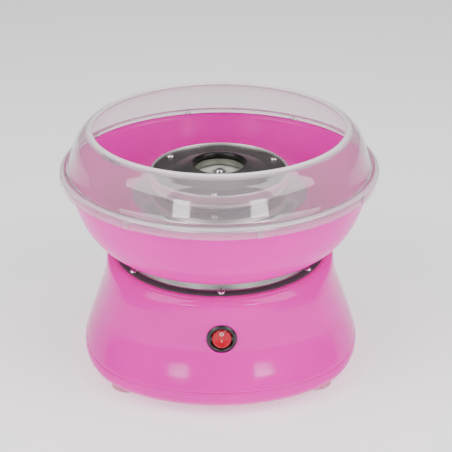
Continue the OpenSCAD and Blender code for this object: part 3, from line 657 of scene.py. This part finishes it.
def make_base_housing():
    """The flared shell: up its skin, over its top edge and down inside its wall."""
    bm = bmesh.new()
    skin_steps, wall_steps = 50, 24
    rings = [base_ring(bm, PARTING_Z + EASE, 0.5), base_ring(bm, PARTING_Z + 0.3, 0.1),
             base_ring(bm, PARTING_Z + 0.6)]
    span = SHOULDER_Z - 1.4 - PARTING_Z - 0.6
    rings += [base_ring(bm, PARTING_Z + 0.6 + span * i / skin_steps)
              for i in range(1, skin_steps + 1)]
    top_r = at_height(CORNER, SHOULDER_Z)
    rings += [round_ring(bm, top_r - TOP_ROUND * (1 - math.cos(a)),
                         SHOULDER_Z - TOP_ROUND * (1 - math.sin(a)))
              for a in [math.radians(18 * i) for i in range(1, 6)]]
    rings += [round_ring(bm, TOP_HOLE_R, SHOULDER_Z),
              round_ring(bm, TOP_HOLE_R, SHOULDER_Z - TOP_WALL),
              round_ring(bm, top_r - 6, SHOULDER_Z - TOP_WALL)]
    span = SHOULDER_Z - 8 - PARTING_Z
    rings += [base_ring(bm, PARTING_Z + EASE + span * i / wall_steps, WALL)
              for i in range(wall_steps, -1, -1)]
    join_rings(bm, rings, TURNS, closed=True)
    piece = finish_mesh("base_shell", bm, "root", "pink_shell", ["base_housing"])
    holes = bmesh.new()
    add_round(holes, switch_frame(), [(0, -20), (CAN_HOLE_R, -20), (CAN_HOLE_R, 0), (SEAT_R, 0),
                                      (SEAT_R, 12), (0, 12)], 64)
    add_round(holes, turn_to((0, 90, GLAND_Z), (0, 1, 0)),
              [(0, 0), (GLAND_HOLE_R, 0), (GLAND_HOLE_R, 40), (0, 40)])
    carve(piece, holes)


def make_base_pads():
    """Flat seats for the switch and the gland on the curved shell."""
    bm = bmesh.new()
    add_round(bm, switch_frame(),
              rounded([(10.2, -3), (SWITCH_PAD_R, -3, 0.3), (SWITCH_PAD_R, -0.7), (10.2, -0.7)]), 64)
    add_round(bm, turn_to((0, 103.4, GLAND_Z), (0, 1, 0)),
              rounded([(GLAND_HOLE_R, 0), (GLAND_PAD_R, 0, 0.4), (GLAND_PAD_R, 10, 0.7),
                       (GLAND_HOLE_R, 10)]), 64)
    finish_mesh("base_pads", bm, "root", "pink_shell")


def make_bottom_cover():
    """The tray under the shell, with vent slots and four screw holes in its floor."""
    bm = bmesh.new()
    levels = [PARTING_Z - EASE, PARTING_Z - 0.3, PARTING_Z - 0.6, 21, 19.5, 18, 16.8, 15.6, 14.4,
              13.2, 12, 11, 10, 9, 8.2, 7.4, 6.7, 6.1, 5.6, 5.25, FLOOR_Z]
    insets = {0: 0.5, 1: 0.1}
    outside = [base_ring(bm, z, insets.get(i, 0.0)) for i, z in enumerate(levels)]
    outside.append(base_ring(bm, FLOOR_Z, 5))
    outside += [round_ring(bm, r, FLOOR_Z) for r in (84, 60, 30, 8)]
    floor_top = FLOOR_Z + 2.5
    inside = [round_ring(bm, r, floor_top) for r in (8, 60, 84)]
    inside += [base_ring(bm, z, WALL + 3 * (z < 9))
               for z in (floor_top, 10, 14, 18, PARTING_Z - EASE)]
    join_rings(bm, outside, TURNS, closed=False)
    join_rings(bm, inside, TURNS, closed=False)
    bm.faces.new(reversed(outside[-1]))
    bm.faces.new(inside[0])
    join_rings(bm, [inside[-1], outside[0]], TURNS, closed=False)
    piece = finish_mesh("bottom_shell", bm, "root", "pink_shell", ["bottom_cover"])
    holes = bmesh.new()
    vent_width, vent_length, vent_pitch = 4, 56, 8
    for i in range(-4, 5):
        add_box(holes, (vent_width, vent_length, 12), Matrix.Translation((i * vent_pitch, 0, FLOOR_Z)))
    for x in (-75, 75):
        for y in (-33, 33):
            add_round(holes, Matrix.Translation((x, y, 0)),
                      [(0, 0), (3.6, 0), (3.6, 12), (0, 12)], 32)
    carve(piece, holes)


def make_feet():
    """Four suction cups, each held by its neck in the floor."""
    outline = rounded([
        (0, 3.2), (7, 2.4), (12.4, 0.05), (13.2, 0), (14, 0.1, 0.3), (13.7, 1.3, 0.6),
        (9, 3.6, 2), (6.8, 4.98, 0.5), (4.5, 4.98), (4.5, 7.5), (5.8, 7.5, 0.3),
        (5.4, 10.2, 1), (3.6, 12, 0.8), (0, 12)])
    for name in ("front_left", "front_right", "rear_left", "rear_right"):
        node = "foot_" + name
        middle = [(a + b) / 2 for a, b in zip(low(node), high(node))]
        bm = turned(outline, 72)
        bmesh.ops.translate(bm, vec=(middle[0], middle[1], 0), verts=bm.verts)
        finish_mesh("suction_" + node, bm, "root", "foot_rubber", [node])


# ---------------------------------------------------------------- screws

def pan_head(radius, height, shank_r, shank_l, spin):
    """Pan-head screw with a cross recess. The underside of its head is at z = 0."""
    bm = turned(rounded([
        (0, -shank_l), (shank_r, -shank_l), (shank_r, 0), (radius, 0, 0.1),
        (radius, height * 0.42, height * 0.3), (radius * 0.8, height * 0.86, height * 0.5),
        (radius * 0.4, height, height), (0, height)]), 40)
    bmesh.ops.remove_doubles(bm, verts=bm.verts, dist=WELD)
    for k in (0, 1):
        slot = bmesh.new()
        place = Matrix.Rotation(spin + k * math.pi / 2, 4, "Z") @ Matrix.Translation((0, 0, height))
        add_box(slot, (radius * 1.15, radius * 0.3, height), place)
        bm = cut_bmesh(bm, slot)
    return bm


def make_screws(name, node, body, size, places):
    """A group of equal screws. The size is head radius and height, shank radius and length."""
    bm = bmesh.new()
    for i, place in enumerate(places):
        one = pan_head(*size, spin=0.5 + 1.3 * i)
        bmesh.ops.transform(one, matrix=place, verts=one.verts)
        copy_into(bm, one)
        one.free()
    finish_mesh(name, bm, body, "screw_steel", [node])


def around(angles, r, z):
    """Frames at a distance from the spindle, at angles in degrees."""
    return [Matrix.Rotation(math.radians(a), 4, "Z") @ Matrix.Translation((r, 0, z))
            for a in angles]


# ---------------------------------------------------------------- plate, drum and head

def make_top_plate():
    """Pressed sheet: a raised round with a sloped step and a flat channel around it."""
    top, rest = PLATEAU_Z, SHOULDER_Z
    bm = turned(rounded([
        (11, top), (79.1, top), (80.3, top - 0.4, 1.4), (82.2, rest + 2, 1.0),
        (CHANNEL_R, rest + SHEET, 0.8), (PLATE_R - 0.9, rest + SHEET, 0.4),
        (PLATE_R, rest + 0.9, 0.5), (PLATE_R, rest + EASE), (82.6, rest + EASE),
        (81, rest + 1.4, 0.6), (79.4, top - SHEET - 0.4, 0.8), (79, top - SHEET),
        (11, top - SHEET)]))
    finish_mesh("steel_plate", bm, "root", "plate_steel", ["top_plate"])


def make_drum():
    """Thin spun drum with a wide hole in its top and a bead round its upper edge."""
    z, r = DRUM_TOP_Z - 1.8, DRUM_R
    outer = [(73, PLATEAU_Z + 0.01), (75.2, PLATEAU_Z + 2), (75.4, PLATEAU_Z + 8),
             (r - 0.6, 122), (r, 133), (r - 0.5, 141), (r - 2, z - 4.5), (r - 4.6, z - 1.2),
             (r - 8, z), (60, z + 1.2), (52, z + 1.8)]
    line = spline(outer, 6)
    foot = [(61, PLATEAU_Z + 0.01)]
    inner = list(reversed(aside(foot + line, 1.0)))
    bm = turned(foot + line + inner)
    add_round(bm, Matrix.Identity(4), bead(r - 4.2, z - 1.7, 0.7), TURNS)
    finish_mesh("steel_drum", bm, "root", "drum_steel", ["heater_drum"])


def bead(r, z, size):
    """Small circle as an outline of (radius, height)."""
    return [(r + size * math.cos(a), z + size * math.sin(a)) for a in round_angles(12)]


def make_head_cover():
    """The head's lid: rim, disc, raised cone and the funnel under its hole."""
    z, well = HEAD_Z, WELL_R
    bm = turned(rounded([
        (well - 1.4, BAND_Z + 2.4, 0.3), (well - 0.2, BAND_Z + 2.4, 0.3), (well + 1.2, z + 1, 1),
        (well + 2, z + 4.7), (well + 3.2, z + 4.9), (38, z - 1.6), (48, z - 1.6), (48, z - 3),
        (53, z - 3), (53, z - 1.6), (HEAD_R - 1.4, z - 1.6), (HEAD_R - 1.4, z - 4.4),
        (HEAD_R - 0.4, z - 4.4, 0.3), (HEAD_R, z - 4.0, 0.3), (HEAD_R, z + 1.2, 0.6),
        (HEAD_R - 0.6, z + 1.8, 0.6), (HEAD_R - 1.4, z + 1.5, 0.5), (HEAD_R - 1.5, z, 0.3),
        (39.5, z, 3.0), (well + 4.4, z + 6.1, 2.0), (well + 2, z + 6.7, 1.4),
        (well, z + 5.9, 1.4), (well, z + 3.6, 1)], 6))
    finish_mesh("head_lid", bm, "spinner", "head_top", ["head_cover"])


def make_head_dish():
    """The head's pan, raised in the middle, with a thick edge under the slot."""
    floor_z = low("head_dish")[2]
    top_z = high("head_dish")[2]
    bore = 3.02
    bm = turned(rounded([
        (bore, floor_z), (24, floor_z, 2), (44, BAND_Z - 2.4, 2), (53.6, BAND_Z - 2.4),
        (HEAD_R - 0.6, BAND_Z - 3.2, 0.5), (HEAD_R, BAND_Z - 2.6, 0.5),
        (HEAD_R, BAND_Z - 0.6, 0.6), (54.6, BAND_Z, 0.6), (46, BAND_Z), (20, BAND_Z + 1.4, 4),
        (9, BAND_Z + 2, 2), (6.5, top_z, 0.8), (bore, top_z)], 5))
    finish_mesh("head_pan", bm, "spinner", "head_alloy", ["head_dish"])


# ---------------------------------------------------------------- bowl and guard

def make_bowl():
    """Thin bowl: its outside, the rounded lip, its inside and the collar at its hole."""
    z0, rim, hole = BOWL_FOOT_Z, BOWL_TOP_Z - 0.6, BOWL_HOLE
    line = [(hole + 4, z0), (86.4, z0 + 0.9), (94, z0 + 3.6), (102.9, 116), (110.3, 125),
            (115.6, 135), (119.2, 145), (122.2, 155), (124.6, 164), (125.3, rim - 1.6)]
    outer = [(hole, z0)] + spline(line, 8)
    lip = rounded([(125.3, rim - 1.6), (LIP_R - 0.1, rim - 1.6, 0.5),
                   (LIP_R, rim - 1.0, 0.3), (LIP_R, rim + 0.2, 0.5),
                   (LIP_R - 0.9, rim + 0.6, 0.6), (124.2, rim + 0.6, 0.8),
                   (123.0, rim - 0.4, 0.6)])[1:]
    wall = [q for q in reversed(aside(outer, BOWL_WALL))
            if q[1] < rim - BOWL_WALL and q[0] > hole + 3]
    collar = rounded([(hole + 4.2, z0 + BOWL_WALL), (hole + 2.5, z0 + 3.0, 0.6),
                      (hole + 2.4, z0 + 5.4, 0.4), (hole + 1.6, z0 + 6, 0.5),
                      (hole + 0.5, z0 + 6, 0.4), (hole, z0 + 5.4)])
    bm = turned(outer + lip + wall + collar)
    finish_mesh("floss_bowl", bm, "bowl_body", "pink_bowl", ["bowl"])


def guard_outline():
    """Dome, brim and short skirt, then back up inside to the rolled rim."""
    h = GUARD_HOLE
    dome = spline([(h + 3.4, TOTAL_H - 1.0), (h + 5.4, 205.4), (h + 8.3, 203), (h + 12.2, 199),
                   (h + 15.6, 193), (h + 18.3, 186), (h + 20.7, 179.5), (h + 22.5, BRIM_Z + 1.8)], 8)
    brim = rounded([
        (h + 22.5, BRIM_Z + 1.8), (GUARD_R - 5.2, BRIM_Z + 0.8, 2), (GUARD_R - 1.0, BRIM_Z, 2),
        (GUARD_R, BRIM_Z - 1.4, 1.2), (GUARD_R, SKIRT_Z + 0.3, 0.3),
        (GUARD_R - 0.4, SKIRT_Z, 0.3), (GUARD_R - GUARD_WALL, SKIRT_Z, 0.3),
        (GUARD_R - GUARD_WALL, UNDER_Z - 0.6, 1.0), (GUARD_R - 3.6, UNDER_Z, 0.8),
        (h + 21.4, UNDER_Z)])[1:]
    inside = [q for q in reversed(aside(dome, -GUARD_WALL))
              if BRIM_Z + 1.2 < q[1] < TOTAL_H - 3.2]
    rim = [(h + RIM_R * (1 + math.cos(a)), TOTAL_H - RIM_R * (1 - math.sin(a)))
           for a in [math.radians(290 - 24 * k) for k in range(10)]]
    return dome + brim + inside + rim


def make_guard():
    finish_mesh("clear_guard", turned(guard_outline()), "guard_body", "guard_clear", ["guard"])


def make_clips():
    """Eight clips round the skirt, each a tab outside and a catch under the brim."""
    bm = bmesh.new()
    count, first, width = 8, 12.5, 5.2
    turns = [Matrix.Rotation(math.radians(first + 360 * k / count), 4, "Z") for k in range(count)]
    for turn in turns:
        add_box(bm, (0.8, width, 6.4), turn @ Matrix.Translation((GUARD_R + 0.2, 0, SKIRT_Z + 3.3)))
        add_box(bm, (3.0, width, 2.6), turn @ Matrix.Translation((GUARD_R - 4.5, 0, UNDER_Z - 1.35)))
    bmesh.ops.bevel(bm, geom=bm.edges, offset=0.25, segments=2, affect="EDGES")
    finish_mesh("guard_clips", bm, "guard_body", "guard_clear")


def make_lug():
    """Grip lug with a slot through it, under the rim at the left front."""
    bm = bmesh.new()
    r_in, r_out = GUARD_HOLE + 2.2, GUARD_HOLE + 6.2
    z_low, z_top = TOTAL_H - 4.9, TOTAL_H - 1.6
    start, stop, steps = math.radians(214.5), math.radians(225.5), 16
    slot = range(6, 10)
    for k in range(steps):
        a, b = (start + (stop - start) * (k + e) / steps for e in (0, 1))
        heights = [(z_low, z_low + 0.9), (z_low + 2.1, z_top)] if k in slot else [(z_low, z_top)]
        for z0, z1 in heights:
            corners = [bm.verts.new((r * math.cos(t), r * math.sin(t), z))
                       for z in (z0, z1) for r, t in ((r_in, a), (r_out, a), (r_out, b), (r_in, b))]
            for face in ((0, 1, 2, 3), (4, 5, 6, 7), (0, 1, 5, 4), (1, 2, 6, 5), (2, 3, 7, 6),
                         (3, 0, 4, 7)):
                bm.faces.new([corners[i] for i in face])
    bmesh.ops.remove_doubles(bm, verts=bm.verts, dist=0.001)
    inner = [f for f in bm.faces if all(len(e.link_faces) > 2 for e in f.edges)]
    bmesh.ops.delete(bm, geom=inner, context="FACES_ONLY")
    finish_mesh("guard_lug", bm, "guard_body", "guard_clear")


# ---------------------------------------------------------------- switch

BEZEL_R = high("switch_body")[0]
ROCKER_WELL_R = 8.9


def make_bezel():
    """Can and bezel in one, with a lug on either side over the rocker's pin."""
    well = ROCKER_WELL_R
    bm = turned(rounded([
        (0, -17), (10, -17, 0.4), (10, EASE), (BEZEL_R, EASE, 0.2), (BEZEL_R, 0.9, 0.5),
        (BEZEL_R - 1.3, 2.1, 1.0), (well + 0.9, 2.2, 0.5), (well + 0.2, 1.4, 0.6),
        (well, 0.6), (well, -9), (0, -9)], 5), 96)
    for side in (-1, 1):
        add_box(bm, (1.2, 3.4, 4.6), Matrix.Translation((side * (well - 0.4), 0, -1.1)))
    bmesh.ops.transform(bm, matrix=switch_frame(), verts=bm.verts)
    finish_mesh("switch_shell", bm, "root", "black_plastic", ["switch_body"])


ROCKER_R = 7.7
TILT = math.radians(-9)    # the rocker rests with its upper half, the off side, pressed
PIN_SINK = 1.6             # how far its pin lies behind the panel


def rocker_frame():
    """Frame on the rocker's pin: +Z out of its top, +Y up along it."""
    return switch_frame() @ Matrix.Translation((0, 0, -PIN_SINK)) @ Matrix.Rotation(TILT, 4, "X")


def rocker_height(x, y):
    """The top of the rocker: a shallow trough across its middle, crowned from side to side."""
    ridge = 1.1 * (abs(y) / ROCKER_R) ** 1.4
    crown = 0.35 * (x / ROCKER_R) ** 2
    return 2.7 + ridge - crown


def ring_on_rocker(bm, r, middle_y, lift, sides):
    """Vertices in a circle that lies on the rocker's top, or off it by lift."""
    points = [(r * math.cos(a), middle_y + r * math.sin(a)) for a in round_angles(sides)]
    return [bm.verts.new((x, y, rocker_height(x, y) + lift)) for x, y in points]


def make_rocker():
    """Troughed round button with a rounded edge and a plain side."""
    bm = bmesh.new()
    sides, steps = 72, 14
    rings = [[bm.verts.new((0, 0, rocker_height(0, 0)))]]
    for i in range(1, steps + 1):
        drop = 0.5 * max(0.0, (i / steps - 0.86) / 0.14) ** 2
        rings.append(ring_on_rocker(bm, ROCKER_R * i / steps, 0, -drop, sides))
    for r, z in ((ROCKER_R + 0.1, 2.0), (ROCKER_R + 0.1, -3.2), (ROCKER_R - 0.6, -3.8)):
        rings.append(round_ring(bm, r, z, sides, 0.0))
    join_rings(bm, rings, sides, closed=False)
    bm.faces.new(reversed(rings[-1]))
    bmesh.ops.transform(bm, matrix=rocker_frame(), verts=bm.verts)
    finish_mesh("red_rocker", bm, "rocker_body", "rocker_red", ["switch_rocker"])


def make_rocker_marks():
    """The usual off ring and on bar, printed white on the rocker."""
    bm = bmesh.new()
    ring_y, ring_r, bar_y = 4.0, 1.3, -2.2
    half, sunk, thick = 0.22, 0.05, 0.12
    sides = 40
    loops = [ring_on_rocker(bm, r, ring_y, dz - sunk, sides)
             for r, dz in ((ring_r - half, 0), (ring_r - half, thick), (ring_r + half, thick),
                           (ring_r + half, 0))]
    join_rings(bm, loops, sides, closed=True)
    add_box(bm, (0.45, 2.4, thick), Matrix.Translation((0, bar_y, rocker_height(0, bar_y) + 0.03)))
    bmesh.ops.transform(bm, matrix=rocker_frame(), verts=bm.verts)
    finish_mesh("rocker_marks", bm, "rocker_body", "block_white")


# ---------------------------------------------------------------- build

make_base_housing()
make_base_pads()
make_bottom_cover()
make_feet()
make_top_plate()
make_drum()
make_head_cover()
make_head_dish()
make_bowl()
make_guard()
make_clips()
make_lug()
make_bezel()
make_rocker()
make_rocker_marks()
make_screws("plate_screw_set", "plate_screws", "root", (3.0, 2.1, 1.5, 8),
            around((35, 90, 145, 215, 270, 325), 86.1, SHOULDER_Z + SHEET))
make_screws("head_screw_set", "head_screws", "spinner", (3.2, 2.2, 1.55, 11.4),
            around((24.7, 144.7, 264.7), 50.6, HEAD_Z))


# ---------------------------------------------------------------- stage

def make_floor():
    """Pale paper on a light table."""
    bpy.ops.mesh.primitive_plane_add(size=9.0, location=(0, 0, 0))
    floor = bpy.context.object
    floor.name = "floor"
    p = Paint("floor_paper", (0.9, 0.9, 0.9), 0.7, Specular_IOR_Level=0.1,
              Emission_Color=(1, 1, 1, 1), Emission_Strength=0.6)
    p.vary_color(p.noise(2.0, 3.0), (0.89, 0.89, 0.89), (0.91, 0.91, 0.91))
    floor.data.materials.append(p.mat)


def soft_light(name, place, target, size, power):
    """White area light at a place, turned to a target. It is not seen itself."""
    lamp = bpy.data.lights.new(name, "AREA")
    lamp.shape = "RECTANGLE"
    lamp.size, lamp.size_y = size
    lamp.energy = power
    obj = bpy.data.objects.new(name, lamp)
    obj.location = place
    obj.rotation_euler = (Vector(target) - Vector(place)).to_track_quat("-Z", "Y").to_euler()
    obj.visible_camera = False
    bpy.context.scene.collection.objects.link(obj)


def make_lights():
    """A soft box and a small window on either side in front, and a soft light above, in a
    dim white room."""
    world = bpy.data.worlds.new("studio")
    world.use_nodes = True
    room = world.node_tree.nodes["Background"]
    room.inputs["Color"].default_value = (1, 1, 1, 1)
    room.inputs["Strength"].default_value = 0.2
    bpy.context.scene.world = world
    for side in (-1, 1):
        soft_light("box", (side * 0.93, -0.6, 1.05), (0, 0, 0.08), (0.9, 1.1), 18)
        soft_light("window", (side * 0.57, -1.12, 0.5), (0, 0, 0.03), (0.26, 0.14), 2.4)
    soft_light("top", (0, 0.2, 1.7), (0, 0, 0.1), (1.6, 1.0), 9)


def make_camera():
    """The camera stands about 1 m away, looks down by 26 degrees and is not quite level."""
    away, up, aside_by, lens = 0.850, 0.528, 0.0052, 89.08
    turn, pitch, roll = math.radians(-0.85), math.radians(25.94), math.radians(-0.25)
    cam = bpy.data.cameras.new("camera")
    cam.lens = lens
    cam.sensor_width = 36.0
    obj = bpy.data.objects.new("camera", cam)
    place = Matrix.Rotation(turn, 4, "Z") @ Matrix.Translation((aside_by, -away, up))
    look = Matrix.Rotation(math.pi / 2 - pitch, 4, "X") @ Matrix.Rotation(roll, 4, "Z")
    obj.matrix_world = place @ look
    bpy.context.scene.collection.objects.link(obj)
    bpy.context.scene.camera = obj


make_floor()
make_lights()
make_camera()
